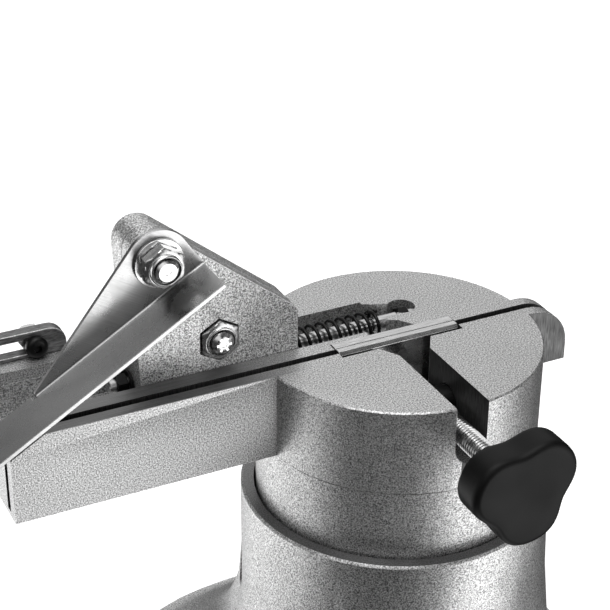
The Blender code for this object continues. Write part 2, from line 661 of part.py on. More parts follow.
make_base(bench)
make_turntable(swivel_axis)
make_head(swivel_axis)
make_jaws(swivel_axis, jaw_axis)
make_clamp(clamp_axis)
make_carriage(carriage_axis)
make_gib(swivel_axis)
make_lever(lever_axis)
make_rod(swivel_axis)
make_spring(swivel_axis)
make_fence(swivel_axis)
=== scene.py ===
"""Bench vise with a sprung carriage: the looks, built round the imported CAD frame."""
import math
import bmesh
import bpy
from mathutils import Matrix, Vector


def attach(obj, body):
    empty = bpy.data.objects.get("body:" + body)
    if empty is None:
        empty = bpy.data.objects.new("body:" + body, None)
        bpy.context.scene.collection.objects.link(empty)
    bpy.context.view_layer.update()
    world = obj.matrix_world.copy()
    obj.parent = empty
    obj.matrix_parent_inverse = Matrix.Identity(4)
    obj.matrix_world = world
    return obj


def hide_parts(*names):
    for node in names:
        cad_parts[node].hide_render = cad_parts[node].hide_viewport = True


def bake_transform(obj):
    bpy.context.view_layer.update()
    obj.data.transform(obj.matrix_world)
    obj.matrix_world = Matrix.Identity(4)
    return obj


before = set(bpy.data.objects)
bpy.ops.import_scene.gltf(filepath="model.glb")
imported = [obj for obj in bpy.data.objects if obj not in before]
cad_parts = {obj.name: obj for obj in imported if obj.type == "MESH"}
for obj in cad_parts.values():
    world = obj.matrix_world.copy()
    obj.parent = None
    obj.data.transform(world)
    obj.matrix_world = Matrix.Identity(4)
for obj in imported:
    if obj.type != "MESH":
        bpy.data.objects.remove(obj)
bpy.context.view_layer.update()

# ------------------------------------------------------------------------------------ camera
# A long lens over the left front corner, a little tilted, with the object right of the lens axis.
CAMERA_AT = (-0.26312, -0.45147, 0.44682)
CAMERA_TURN = math.radians(-24.25)
CAMERA_RISE = math.radians(28.62)
CAMERA_ROLL = math.radians(0.69)
CAMERA_LENS = 101.9
CAMERA_SHIFT = 0.105

back = Vector((math.sin(CAMERA_TURN) * math.cos(CAMERA_RISE),
               -math.cos(CAMERA_TURN) * math.cos(CAMERA_RISE),
               math.sin(CAMERA_RISE)))
level = Vector((math.cos(CAMERA_TURN), math.sin(CAMERA_TURN), 0))
upright = back.cross(level)
right = math.cos(CAMERA_ROLL) * level - math.sin(CAMERA_ROLL) * upright
up = math.sin(CAMERA_ROLL) * level + math.cos(CAMERA_ROLL) * upright
lens = bpy.data.cameras.new("camera")
lens.lens = CAMERA_LENS
lens.sensor_width = 36.0
lens.shift_x = CAMERA_SHIFT
lens.clip_start = 0.01
camera = bpy.data.objects.new("camera", lens)
camera.matrix_world = Matrix((right, up, back)).transposed().to_4x4()
camera.location = CAMERA_AT
bpy.context.scene.collection.objects.link(camera)
bpy.context.scene.camera = camera

# ------------------------------------------------------------------------------------ studio
# A seamless pale table in a dim room, with white cards round it. Those at both sides light the
# upright faces, and the gap between them leaves the dark band down the round castings.


def colour(code):
    """An sRGB hex colour as the linear values that a shader takes."""
    parts = [int(code[i:i + 2], 16) / 255 for i in (1, 3, 5)]
    return [p / 12.92 if p <= 0.04045 else ((p + 0.055) / 1.055) ** 2.4 for p in parts] + [1.0]


def add(tree, kind, values=None, links=None, **settings):
    """Adds one node: its settings, the values of its sockets, and what links into them."""
    node = tree.nodes.new("ShaderNode" + kind)
    for key, value in settings.items():
        setattr(node, key, value)
    for socket, value in (values or {}).items():
        node.inputs[socket].default_value = value
    for socket, source in (links or {}).items():
        tree.links.new(source, node.inputs[socket])
    return node


def new_material(name):
    """An empty node material, with its tree."""
    made = bpy.data.materials.new(name)
    made.use_nodes = True
    made.node_tree.nodes.clear()
    return made, made.node_tree


def soft_box(name, at, aim, size, power):
    """A square soft light that the camera doesn't see."""
    lamp = bpy.data.lights.new(name, "AREA")
    lamp.shape = "RECTANGLE"
    lamp.size, lamp.size_y = size
    lamp.energy = power
    made = bpy.data.objects.new(name, lamp)
    made.location = at
    made.rotation_euler = (Vector(aim) - Vector(at)).to_track_quat("-Z", "Y").to_euler()
    made.visible_camera = False
    bpy.context.scene.collection.objects.link(made)


AIM = (0, 0, 0.11)
soft_box("box_top", (-0.15, -0.1, 1.2), AIM, (0.7, 0.7), 4.0)

# The cards, each by the direction it stands in (degrees round from the front, and above the
# table), the half angle that it fills, and its brightness.
CARDS = [(-122, -20, 42, 1.75), (34, -27, 30, 3.0), (36, 8, 30, 1.7), (68, -12, 22, 1.2),
         (-45, 45, 36, 1.0), (160, 42, 46, 0.9), (0, 85, 36, 1.6), (-165, -30, 30, 1.2),
         (-24, -75, 34, 1.4)]
CARD_CORE = 0.35         # of its half angle is evenly bright
SURROUND = 0.05
world = bpy.data.worlds.new("studio")
world.use_nodes = True
tree = world.node_tree
place = add(tree, "TexCoord")
total = None
for azimuth, elevation, spread, strength in CARDS:
    round_by, above, half = [math.radians(value) for value in (azimuth, elevation, spread)]
    way = (math.sin(round_by) * math.cos(above), -math.cos(round_by) * math.cos(above),
           math.sin(above))
    near = add(tree, "VectorMath", {1: way}, {0: place.outputs["Generated"]},
               operation="DOT_PRODUCT")
    glow = add(tree, "MapRange",
               {"From Min": math.cos(half), "From Max": math.cos(half * CARD_CORE),
                "To Max": strength},
               {"Value": near.outputs["Value"]}, interpolation_type="SMOOTHSTEP")
    if total:
        total = add(tree, "Math", links={0: total.outputs[0], 1: glow.outputs[0]})
    else:
        total = add(tree, "Math", {1: SURROUND}, {0: glow.outputs[0]})
tree.links.new(total.outputs[0], tree.nodes["Background"].inputs["Strength"])
tree.nodes["Background"].inputs["Color"].default_value = colour("#ffffff")
bpy.context.scene.world = world
bpy.context.scene.view_settings.view_transform = "Standard"

FLOOR_SIZE = 6.0
FLOOR_DROP = 0.0004
table_white, tree = new_material("table_matt_white_laminate")
place = add(tree, "TexCoord")
cloud = add(tree, "TexNoise", {"Scale": 4.0, "Detail": 2.0}, {"Vector": place.outputs["Object"]})
tone = add(tree, "Mix", {6: colour("#f1f1f1"), 7: colour("#f7f7f7")},
           {0: cloud.outputs["Fac"]}, data_type="RGBA")
shader = add(tree, "BsdfPrincipled", {"Roughness": 0.7, "Emission Strength": 0.45,
                                      "Emission Color": colour("#ffffff")},
             {"Base Color": tone.outputs[2]})
add(tree, "OutputMaterial", links={"Surface": shader.outputs["BSDF"]})
bm = bmesh.new()
bmesh.ops.create_grid(bm, x_segments=1, y_segments=1, size=FLOOR_SIZE / 2)
bmesh.ops.translate(bm, verts=bm.verts, vec=(0, 0, -FLOOR_DROP))
mesh = bpy.data.meshes.new("table_top")
bm.to_mesh(mesh)
bm.free()
table_top = bpy.data.objects.new("table_top", mesh)
table_top.data.materials.append(table_white)
table_top.visible_glossy = False
table_top.visible_diffuse = False
bpy.context.scene.collection.objects.link(table_top)

# ------------------------------------------------------------------------------------ base
# A grey iron casting: a round socket that flares into a four-cornered foot. It is sand cast,
# bored for the turntable, and powder coated silver; its edges are coloured lighter, partly as
# rubbed-thin coat and partly as a painted highlight.
MM = 0.001
GRAIN = 0.50             # of the powder coat's orange peel and flake, in mm
EDGE_ROUND = 0.45        # of a cast edge, in mm
EDGE_STEPS = 2


def cast_paint(name, dark, light, roughness, metallic, grain, relief, mottle):
    """Silver powder coat: flakes that catch the light differently, and a fine pebbled skin."""
    made, tree = new_material(name)
    place = add(tree, "TexCoord")
    flake = add(tree, "TexNoise", {"Scale": 1 / (grain * MM), "Detail": 2.0, "Roughness": 0.6},
                {"Vector": place.outputs["Object"]})
    spread = add(tree, "MapRange", {"From Min": 0.36, "From Max": 0.64},
                 {"Value": flake.outputs["Fac"]})
    cloud = add(tree, "TexNoise", {"Scale": 1 / (14 * MM), "Detail": 3.0},
                {"Vector": place.outputs["Object"]})
    base = add(tree, "Mix", {6: colour(dark), 7: colour(light)},
               {0: spread.outputs[0]}, data_type="RGBA")
    worn = add(tree, "MapRange", {"From Min": 0.35, "From Max": 0.7, "To Min": 1.0 - mottle,
                                  "To Max": 1.0}, {"Value": cloud.outputs["Fac"]})
    shade = add(tree, "Mix", {0: 1.0}, {6: base.outputs[2], 7: worn.outputs[0]},
                data_type="RGBA", blend_type="MULTIPLY")
    gloss = add(tree, "MapRange", {"To Min": roughness - 0.08, "To Max": roughness + 0.10},
                {"Value": flake.outputs["Fac"]})
    skin = add(tree, "TexNoise", {"Scale": 1 / (grain * 1.3 * MM), "Detail": 1.0},
               {"Vector": place.outputs["Object"]})
    pebble = add(tree, "Bump", {"Strength": relief, "Distance": 0.12 * MM},
                 {"Height": skin.outputs["Fac"]})
    shader = add(tree, "BsdfPrincipled", {"Metallic": metallic},
                 {"Base Color": shade.outputs[2], "Roughness": gloss.outputs[0],
                  "Normal": pebble.outputs["Normal"]})
    add(tree, "OutputMaterial", links={"Surface": shader.outputs["BSDF"]})
    return made


silver_coat = cast_paint("silver_powder_coat_on_iron", "#6a6a6a", "#e8e8e8", 0.42, 0.85,
                         GRAIN, 0.6, 0.08)
# A lighter, glossier coat for the rounded edges: partly rubbed-thin coat, partly a painted highlight
# along every edge.
worn_and_highlight_edge = cast_paint("silver_coat_worn_and_painted_highlight_on_edges", "#b4b4b4", "#f6f6f6", 0.34, 0.85,
                         GRAIN, 0.2, 0.0)


def welded(node):
    """A CAD piece as a bmesh of whole faces: its loose triangles joined and flat areas merged."""
    bm = bmesh.new()
    bm.from_mesh(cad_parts[node].data)
    bmesh.ops.remove_doubles(bm, verts=bm.verts, dist=0.002 * MM)
    bmesh.ops.dissolve_limit(bm, angle_limit=math.radians(0.4), verts=bm.verts, edges=bm.edges)
    return bm


def finish_piece(bm, name, body, materials, replaced=(), sharp=35):
    """Makes the object at the origin, gives it its finish, and says what it moves with."""
    bmesh.ops.recalc_face_normals(bm, faces=bm.faces)
    mesh = bpy.data.meshes.new(name)
    bm.to_mesh(mesh)
    bm.free()
    mesh.shade_smooth()
    mesh.set_sharp_from_angle(angle=math.radians(sharp))
    piece = bpy.data.objects.new(name, mesh)
    bpy.context.scene.collection.objects.link(piece)
    for material in materials:
        mesh.materials.append(material)
    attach(piece, body)
    if replaced:
        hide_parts(*replaced)
    return piece


def round_edges(piece, radius, edge_slot=-1, limit=30):
    """Rounds every edge sharper than the limit, as casting, tumbling or breaking does."""
    piece.data.shade_smooth()
    step = piece.modifiers.new("rounded_edges", "BEVEL")
    step.width = radius * MM
    step.segments = EDGE_STEPS
    step.limit_method = "ANGLE"
    step.angle_limit = math.radians(limit)
    step.harden_normals = True
    # The rounded faces take the edge_slot material, the lighter edge coat that is partly painted
    # highlight.
    step.material = edge_slot
    step.miter_outer = "MITER_ARC"


bored_rim = cast_paint("bored_iron_of_the_socket_rim", "#5e5e5e", "#8a8a8a", 0.36, 0.85,
                       GRAIN, 0.3, 0.0)
RIM = 92.5
FILLET_Z = (11.0, 41.0)  # where the foot runs into the socket's wall
WALL_R = 54.0
FOOT_HOLES = [(-76, -50), (-76, 50), (56, -50), (56, 50)]
HOLE_CLEAR = 10.0        # the ground round each bolt hole that stays as it is
FILLET_PASSES = 8
SQUARE_ON = 0.9          # a normal with this much of an axis faces along it
bm = bmesh.new()
bm.from_mesh(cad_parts["base_casting"].data)
bmesh.ops.remove_doubles(bm, verts=bm.verts, dist=0.002 * MM)
blended = []
for v in bm.verts:
    spot = v.co / MM
    from_hole = min((spot.xy - Vector(hole)).length for hole in FOOT_HOLES)
    if FILLET_Z[0] < spot.z < FILLET_Z[1] and spot.xy.length > WALL_R and from_hole > HOLE_CLEAR:
        blended.append(v)
for step in range(FILLET_PASSES):
    bmesh.ops.smooth_vert(bm, verts=blended, factor=0.5, use_axis_x=True, use_axis_y=True,
                          use_axis_z=True)
bmesh.ops.dissolve_limit(bm, angle_limit=math.radians(0.4), verts=bm.verts, edges=bm.edges)
for face in bm.faces:
    if face.normal.z > SQUARE_ON and face.calc_center_median().z > (RIM - 0.1) * MM:
        face.material_index = 2
base_shell = finish_piece(bm, "base_shell", "base",
                          [silver_coat, worn_and_highlight_edge, bored_rim], ["base_casting"], sharp=40)
round_edges(base_shell, EDGE_ROUND, 1, limit=40)

# ------------------------------------------------------------------------------------ turntable
# A turned iron drum in the same coat, which drops into the base's socket and turns on the kingpin.
# Its top edge meets the head in a hairline joint.
turntable_drum = finish_piece(welded("turntable"), "turntable_drum", "head",
                              [silver_coat, worn_and_highlight_edge], ["turntable"])
round_edges(turntable_drum, 0.3, 1)

# ------------------------------------------------------------------------------------ head and arm
# One iron casting: a thick round head, the long arm to its left and a rounded nose to its right.
# It is powder coated, with the work slot, the jaw pocket, the cross slot and the carriage channel
# milled into it. The arm's top is a rubbed guide strip on each side of the slot.
HEAD_TOP = 150.0
ARM_X = (-62.0, -34.0)   # the coat on top fades into the rubbed strips between these
STRIP_Y = (-6.2, 8.0)
STRIP_DEPTH = 0.25
CROSS_X = 6.2            # half the cross slot, with a little to spare
CROSS_BACK = -4.0
SLOT_Y = 1.6             # half the work slot, with a little to spare
JAW_POCKET = ((-24.2, 23.3), (-4.6, 5.4))
NOSE_SHADE_FROM = 39.0         # past this the nose's front face is darkened with the milled-iron colour as painted shade

head_coat = cast_paint("silver_powder_coat_on_the_head", "#727272", "#e6e6e6", 0.42, 0.85,
                       GRAIN, 0.6, 0.05)
tree = head_coat.node_tree
nodes = {node.bl_idname: node for node in tree.nodes}
shader = nodes["ShaderNodeBsdfPrincipled"]
place = nodes["ShaderNodeTexCoord"]
spot = add(tree, "SeparateXYZ", links={0: place.outputs["Object"]})
along = add(tree, "MapRange", {"From Min": ARM_X[1] * MM, "From Max": ARM_X[0] * MM},
            {"Value": spot.outputs["X"]})
high = add(tree, "Math", {1: (HEAD_TOP - STRIP_DEPTH) * MM}, {0: spot.outputs["Z"]},
           operation="GREATER_THAN")
middle = sum(STRIP_Y) / 2
half = (STRIP_Y[1] - STRIP_Y[0]) / 2
across = add(tree, "Math", {1: middle * MM, 2: half * MM}, {0: spot.outputs["Y"]},
             operation="COMPARE")
strip = add(tree, "Math", links={0: along.outputs[0], 1: high.outputs[0]}, operation="MULTIPLY")
strip = add(tree, "Math", links={0: strip.outputs[0], 1: across.outputs[0]}, operation="MULTIPLY")
rubs = add(tree, "Mapping", {"Scale": (0.04, 1.0, 1.0)}, {"Vector": place.outputs["Object"]})
streak = add(tree, "TexNoise", {"Scale": 1 / (0.6 * MM), "Detail": 2.0},
             {"Vector": rubs.outputs[0]})
steel = add(tree, "Mix", {6: colour("#646464"), 7: colour("#8e8e8e")},
            {0: streak.outputs["Fac"]}, data_type="RGBA")
coat_socket = shader.inputs["Base Color"].links[0].from_socket
both = add(tree, "Mix", links={0: strip.outputs[0], 6: coat_socket, 7: steel.outputs[2]},
           data_type="RGBA")
tree.links.new(both.outputs[2], shader.inputs["Base Color"])


def milled_steel(name, dark, light, roughness, width, stretch, metallic=0.85, relief=0.2):
    """A machined metal face: fine tool or grinding lines, width in mm, drawn along an axis."""
    made, tree = new_material(name)
    place = add(tree, "TexCoord")
    lines = add(tree, "Mapping", {"Scale": stretch}, {"Vector": place.outputs["Object"]})
    grind = add(tree, "TexNoise", {"Scale": 1 / (width * MM), "Detail": 3.0, "Roughness": 0.65},
                {"Vector": lines.outputs[0]})
    spread = add(tree, "MapRange", {"From Min": 0.3, "From Max": 0.7},
                 {"Value": grind.outputs["Fac"]})
    smudge = add(tree, "TexNoise", {"Scale": 1 / (9 * MM), "Detail": 3.0, "Roughness": 0.6},
                 {"Vector": place.outputs["Object"]})
    base = add(tree, "Mix", {6: colour(dark), 7: colour(light)},
               {0: spread.outputs[0]}, data_type="RGBA")
    gloss = add(tree, "MapRange", {"From Min": 0.3, "From Max": 0.7, "To Min": roughness - 0.07,
                                   "To Max": roughness + 0.10}, {"Value": smudge.outputs["Fac"]})
    ridges = add(tree, "Bump", {"Strength": relief, "Distance": 0.02 * MM},
                 {"Height": grind.outputs["Fac"]})
    shader = add(tree, "BsdfPrincipled", {"Metallic": metallic},
                 {"Base Color": base.outputs[2], "Roughness": gloss.outputs[0],
                  "Normal": ridges.outputs["Normal"]})
    add(tree, "OutputMaterial", links={"Surface": shader.outputs["BSDF"]})
    return made


milled_iron = milled_steel("milled_cast_iron", "#3c3c3c", "#6a6a6a", 0.45, 0.5, (1, 1, 0.08))
bm = welded("head_body")
for face in bm.faces:
    points = [v.co / MM for v in face.verts]
    low = Vector([min(p[i] for p in points) for i in range(3)])
    top = Vector([max(p[i] for p in points) for i in range(3)])
    in_cross = low.x > -CROSS_X and top.x < CROSS_X and top.y < CROSS_BACK
    in_slot = low.y > -SLOT_Y and top.y < SLOT_Y and abs(face.normal.y) > 0.5
    (x0, x1), (y0, y1) = JAW_POCKET
    in_pocket = low.x > x0 and top.x < x1 and low.y > y0 and top.y < y1
    # The nose's front face takes the dark milled-iron colour as painted shade.
    nose_in_painted_shade = low.x > NOSE_SHADE_FROM and top.y < 0 and abs(face.normal.y) > SQUARE_ON
    if in_cross or in_slot or in_pocket or nose_in_painted_shade:
        face.material_index = 2
head_casting = finish_piece(bm, "head_casting", "head",
                            [head_coat, worn_and_highlight_edge, milled_iron], ["head_body"])
round_edges(head_casting, EDGE_ROUND, 1)

# ------------------------------------------------------------------------------------ jaws
# Two ground tool-steel plates. The rear one is screwed into the jaw pocket with two countersunk
# screws, and the front one slides, with a round pad behind it that the clamp screw pushes on.
ground_steel = milled_steel("ground_tool_steel", "#a5a5a5", "#e2e2e2", 0.24, 0.30,
                            (0.05, 1, 1), 1.0, 0.25)
rear_jaw_plate = finish_piece(welded("rear_jaw"), "rear_jaw_plate", "head",
                              [ground_steel], ["rear_jaw"])
round_edges(rear_jaw_plate, 0.2)
front_jaw_plate = finish_piece(welded("front_jaw"), "front_jaw_plate", "jaw",
                               [ground_steel], ["front_jaw"])
round_edges(front_jaw_plate, 0.2)

AXES = {"X": Matrix.Rotation(math.pi / 2, 3, "Y"), "Y": Matrix.Rotation(-math.pi / 2, 3, "X"),
        "Z": Matrix.Identity(3)}


def turned(profile, axis, centre, steps=48, hexagons=(), corner_at=0.0):
    """A profile of (height, radius) spun round an axis, as on a lathe.

    A hexagon, (across flats, least radius, most radius), pulls in what stands outside it, as
    milling does. Its first corner is at an angle of corner_at.
    """
    bm = bmesh.new()
    points = [bm.verts.new((radius * MM, 0, height * MM)) for height, radius in profile]
    edges = [bm.edges.new(pair) for pair in zip(points, points[1:])]
    bmesh.ops.spin(bm, geom=points + edges, cent=(0, 0, 0), axis=(0, 0, 1), dvec=(0, 0, 0),
                   angle=2 * math.pi, steps=steps, use_merge=True, use_duplicate=False)
    bmesh.ops.remove_doubles(bm, verts=bm.verts, dist=0.001 * MM)
    for flats, least, most in hexagons:
        for v in bm.verts:
            radius = v.co.xy.length
            if least * MM < radius < most * MM:
                turn = (math.atan2(v.co.y, v.co.x) - corner_at) % (math.pi / 3) - math.pi / 6
                edge = flats / 2 * MM / math.cos(turn)
                v.co.xy *= min(1.0, edge / radius)
    bmesh.ops.rotate(bm, verts=bm.verts, cent=(0, 0, 0), matrix=AXES[axis])
    bmesh.ops.translate(bm, verts=bm.verts, vec=Vector(centre) * MM)
    return bm


SCREW_AXIS = (0, 0, HEAD_TOP - 14.0)
PAD = (-4.7, -2.4, 5.0)
low, high, radius = PAD
shape = [(low, 0), (low, 4.2)] + [(low + 0.6, radius), (high - 0.2, radius), (high, radius - 0.2)]
finish_piece(turned(shape + [(high, 0)], "Y", SCREW_AXIS), "pressure_pad_turned", "jaw",
             [ground_steel], ["pressure_pad"])

black_oxide = milled_steel("black_oxide_steel", "#101010", "#1e1e1e", 0.34, 0.5, (1, 1, 1),
                           0.7, 0.15)
JAW_SCREWS = (-15.0, 15.0)
JAW_SCREW_Z = HEAD_TOP - 15.8
for number, x in enumerate(JAW_SCREWS, 1):
    shape = [(3.0, 0), (3.0, 1.44), (1.7, 1.44), (1.7, 3.3), (1.8, 3.5), (2.0, 3.5),
             (3.7, 2.0), (15.8, 2.0), (16, 1.7), (16, 0)]
    finish_piece(turned(shape, "Y", (x, 0, JAW_SCREW_Z), 36, [(2.5, 0.5, 1.6)]),
                 f"jaw_screw_{number}_socket_head", "head", [black_oxide],
                 [f"jaw_screw_{number}"])

# ------------------------------------------------------------------------------------ clamp screw
# M8 x 1.25 rolled thread in bright zinc, with a turned nose against the pad. It runs through a
# black cross-drilled barrel nut, and its outer end is moulded into the knob.
PITCH = 1.25
MAJOR_R = 3.98
MINOR_R = 3.25
THREAD_STEPS = 20
SCREW_Y = (-79.6, -9.5)
NOSE_END = -5.0


def zinc_plate(name, shade, roughness):
    """Bright zinc: a clean white metal with soft cloudy gloss and fine handling marks."""
    made, tree = new_material(name)
    place = add(tree, "TexCoord")
    cloud = add(tree, "TexNoise", {"Scale": 1 / (2.5 * MM), "Detail": 3.0, "Roughness": 0.6},
                {"Vector": place.outputs["Object"]})
    marks = add(tree, "TexNoise", {"Scale": 1 / (0.35 * MM), "Detail": 2.0},
                {"Vector": place.outputs["Object"]})
    base = add(tree, "Mix", {6: colour(shade), 7: colour("#efefef")},
               {0: cloud.outputs["Fac"]}, data_type="RGBA")
    gloss = add(tree, "MapRange", {"From Min": 0.3, "From Max": 0.7, "To Min": roughness - 0.06,
                                   "To Max": roughness + 0.12}, {"Value": cloud.outputs["Fac"]})
    dents = add(tree, "Bump", {"Strength": 0.12, "Distance": 0.03 * MM},
                {"Height": marks.outputs["Fac"]})
    shader = add(tree, "BsdfPrincipled", {"Metallic": 1.0},
                 {"Base Color": base.outputs[2], "Roughness": gloss.outputs[0],
                  "Normal": dents.outputs["Normal"]})
    add(tree, "OutputMaterial", links={"Surface": shader.outputs["BSDF"]})
    return made


zinc = zinc_plate("bright_zinc_plate", "#b9b9b9", 0.22)


def threaded(low, high, major, minor, pitch, axis, centre):
    """A screw thread between two heights: one pitch of its flanks spun up round the axis."""
    bm = bmesh.new()
    flanks = [(0.0, minor), (0.11, minor), (0.44, major), (0.56, major), (0.89, minor), (1, minor)]
    points = [bm.verts.new((r * MM, 0, (low - 2 * pitch + h * pitch) * MM)) for h, r in flanks]
    edges = [bm.edges.new(pair) for pair in zip(points, points[1:])]
    turns = math.ceil((high - low) / pitch) + 4
    bmesh.ops.spin(bm, geom=points + edges, cent=(0, 0, 0), axis=(0, 0, 1),
                   dvec=(0, 0, pitch * MM / THREAD_STEPS), angle=2 * math.pi * turns,
                   steps=THREAD_STEPS * turns, use_merge=False, use_duplicate=False)
    bmesh.ops.remove_doubles(bm, verts=bm.verts, dist=0.01 * MM)
    for height, way in ((low, -1), (high, 1)):
        geom = bm.verts[:] + bm.edges[:] + bm.faces[:]
        cut = bmesh.ops.bisect_plane(bm, geom=geom, dist=0.0001 * MM,
                                     plane_co=(0, 0, height * MM),
                                     plane_no=(0, 0, way), clear_outer=True)
        rim = [e for e in cut["geom_cut"] if isinstance(e, bmesh.types.BMEdge)]
        bmesh.ops.contextual_create(bm, geom=rim)
    bmesh.ops.rotate(bm, verts=bm.verts, cent=(0, 0, 0), matrix=AXES[axis])
    bmesh.ops.translate(bm, verts=bm.verts, vec=Vector(centre) * MM)
    return bm


def joined(first, *others):
    """Puts several bmeshes into the first one."""
    for other in others:
        mesh = bpy.data.meshes.new("part")
        other.to_mesh(mesh)
        other.free()
        first.from_mesh(mesh)
        bpy.data.meshes.remove(mesh)
    return first


nose = turned([(SCREW_Y[1] - 0.5, 0), (SCREW_Y[1] - 0.5, 3.0), (NOSE_END - 0.6, 3.0),
               (NOSE_END, 2.3), (NOSE_END, 0)], "Y", SCREW_AXIS, 32)
thread = threaded(SCREW_Y[0], SCREW_Y[1], MAJOR_R, MINOR_R, PITCH, "Y", SCREW_AXIS)
finish_piece(joined(thread, nose), "threaded_spindle", "clamp", [zinc],
             ["clamp_screw"])
barrel = finish_piece(welded("barrel_nut"), "barrel_nut_drilled", "head",
                      [black_oxide], ["barrel_nut"])
round_edges(barrel, 0.3)

# ------------------------------------------------------------------------------------ knob
# A solid phenolic hand knob with three broad lobes, moulded black with a satin skin and generous
# rounded edges. The fine spark-eroded texture is drawn coarser than it is, so that it shows.
KNOB_Y = (-84.0, -72.0)
KNOB_R = 20.0
SCALLOP = 4.8
LOBE_AT = math.radians(40)
FACE_ROUND = 2.6
REAR_ROUND = 2.4
ROUND_STEPS = 6

phenolic, tree = new_material("moulded_black_phenolic")
place = add(tree, "TexCoord")
pits = add(tree, "TexNoise", {"Scale": 1 / (0.45 * MM), "Detail": 2.0},
           {"Vector": place.outputs["Object"]})
cloud = add(tree, "TexNoise", {"Scale": 1 / (9 * MM), "Detail": 3.0},
            {"Vector": place.outputs["Object"]})
tone = add(tree, "Mix", {6: colour("#0c0c0c"), 7: colour("#161616")},
           {0: cloud.outputs["Fac"]}, data_type="RGBA")
gloss = add(tree, "MapRange", {"To Min": 0.36, "To Max": 0.52}, {"Value": cloud.outputs["Fac"]})
skin = add(tree, "Bump", {"Strength": 0.25, "Distance": 0.04 * MM},
           {"Height": pits.outputs["Fac"]})
shader = add(tree, "BsdfPrincipled", {"IOR": 1.55, "Specular IOR Level": 0.10},
             {"Base Color": tone.outputs[2], "Roughness": gloss.outputs[0],
              "Normal": skin.outputs["Normal"]})
add(tree, "OutputMaterial", links={"Surface": shader.outputs["BSDF"]})


def rounded(height, radius, round_off, side):
    """Points of a quarter round at a turned corner: side is +1 at the top of a piece, -1 below."""
    points = []
    for i in range(ROUND_STEPS + 1):
        a = math.pi / 2 * i / ROUND_STEPS
        points.append((height - side * round_off * (1 - math.sin(a)),
                       radius - round_off * (1 - math.cos(a))))
    return points


face, rear = KNOB_Y
profile = [(face + 0.6, 0), (face + 0.45, 5), (face + 0.12, 10), (face, 14.0)]
profile += rounded(face, KNOB_R, FACE_ROUND, -1)[::-1]
profile += [(face + 4.5, KNOB_R), (face + 6.5, KNOB_R), (face + 8.5, KNOB_R)]
profile += rounded(rear, KNOB_R, REAR_ROUND, 1)
profile += [(rear, 15.0), (rear, 9.0), (rear - 0.3, 4.6), (rear - 5, 4.4), (face + 4.3, 4.4),
            (face + 4.3, 0)]
LOBES = 3
HUB = (6.0, 13.0)
bm = turned(profile, "Z", (0, 0, 0), 144)
for v in bm.verts:
    radius = v.co.xy.length / MM
    turn = -math.atan2(v.co.y, v.co.x)
    dip = SCALLOP * (0.5 - 0.5 * math.cos(LOBES * (turn - LOBE_AT))) ** 1.6
    share = min(max((radius - HUB[0]) / (HUB[1] - HUB[0]), 0), 1)
    v.co.xy *= 1 - share * dip / KNOB_R
bmesh.ops.rotate(bm, verts=bm.verts, cent=(0, 0, 0), matrix=AXES["Y"])
bmesh.ops.translate(bm, verts=bm.verts, vec=Vector(SCREW_AXIS) * MM)
finish_piece(bm, "knob_moulding", "clamp", [phenolic], ["clamp_knob"], sharp=50)

# ------------------------------------------------------------------------------------ carriage
# Three upright plates side by side, all in the silver coat: two cheeks, and between them a block
# that slides in the arm's channel. Two M8 bolts clamp them together.
carriage_coat = cast_paint("silver_powder_coat_on_the_carriage", "#626262", "#fafafa", 0.44, 0.8,
                           GRAIN * 1.05, 1.0, 0.05)
for node, name in (("front_cheek", "front_cheek_plate"), ("slide_block", "slide_block_middle"),
                   ("rear_cheek", "rear_cheek_plate")):
    plate = finish_piece(welded(node), name, "carriage",
                         [carriage_coat, worn_and_highlight_edge], [node])
    round_edges(plate, 0.35, 1)

# ------------------------------------------------------------------------------------ carriage bolts
# Two M8 zinc-plated countersunk bolts from the back, with nylon-insert lock nuts at the front. One
# nut lies in a hexagonal pocket low down. The upper bolt is also the lever's pivot, with a spacer
# behind the lever and a flat washer in front.
NUT_ACROSS = 13.0
LOWER = (-64.1, HEAD_TOP + 10.5)
PIVOT = (-87.5, HEAD_TOP + 47.9)
BOLT_HEAD = 22.8
BOLT_R = 3.95
SINK_R = 6.6             # of the countersunk head
GROOVE = 0.42            # depth of the thread's rings
CRESTS = 5
NUT_BORE = 4.05
INSERT_RECESS = 1.3
CHAMFER = math.tan(math.radians(28))
CORNER_UP = math.pi / 6  # stands the nuts on a flat
FAR_OUT = 99             # a radius beyond any nut's corners
nylon, tree = new_material("dark_nylon_insert")
place = add(tree, "TexCoord")
grime = add(tree, "TexNoise", {"Scale": 1 / (0.8 * MM)}, {"Vector": place.outputs["Object"]})
tone = add(tree, "Mix", {6: colour("#1b1b1b"), 7: colour("#2c2c2c")},
           {0: grime.outputs["Fac"]}, data_type="RGBA")
shader = add(tree, "BsdfPrincipled", {"Roughness": 0.4}, {"Base Color": tone.outputs[2]})
add(tree, "OutputMaterial", links={"Surface": shader.outputs["BSDF"]})


def corner(across):
    """Radius of a hexagon's corners."""
    return across / 2 / math.cos(math.pi / 6)


def hex_end(height, across, side, crown=0.94):
    """The cone that chamfers a hexagon's corners, from the flat crown out to the corners."""
    start = across / 2 * crown
    points = []
    for i in range(5):
        radius = start + (corner(across) - start) * i / 4
        points.append((height - side * (radius - start) * CHAMFER, radius))
    return points


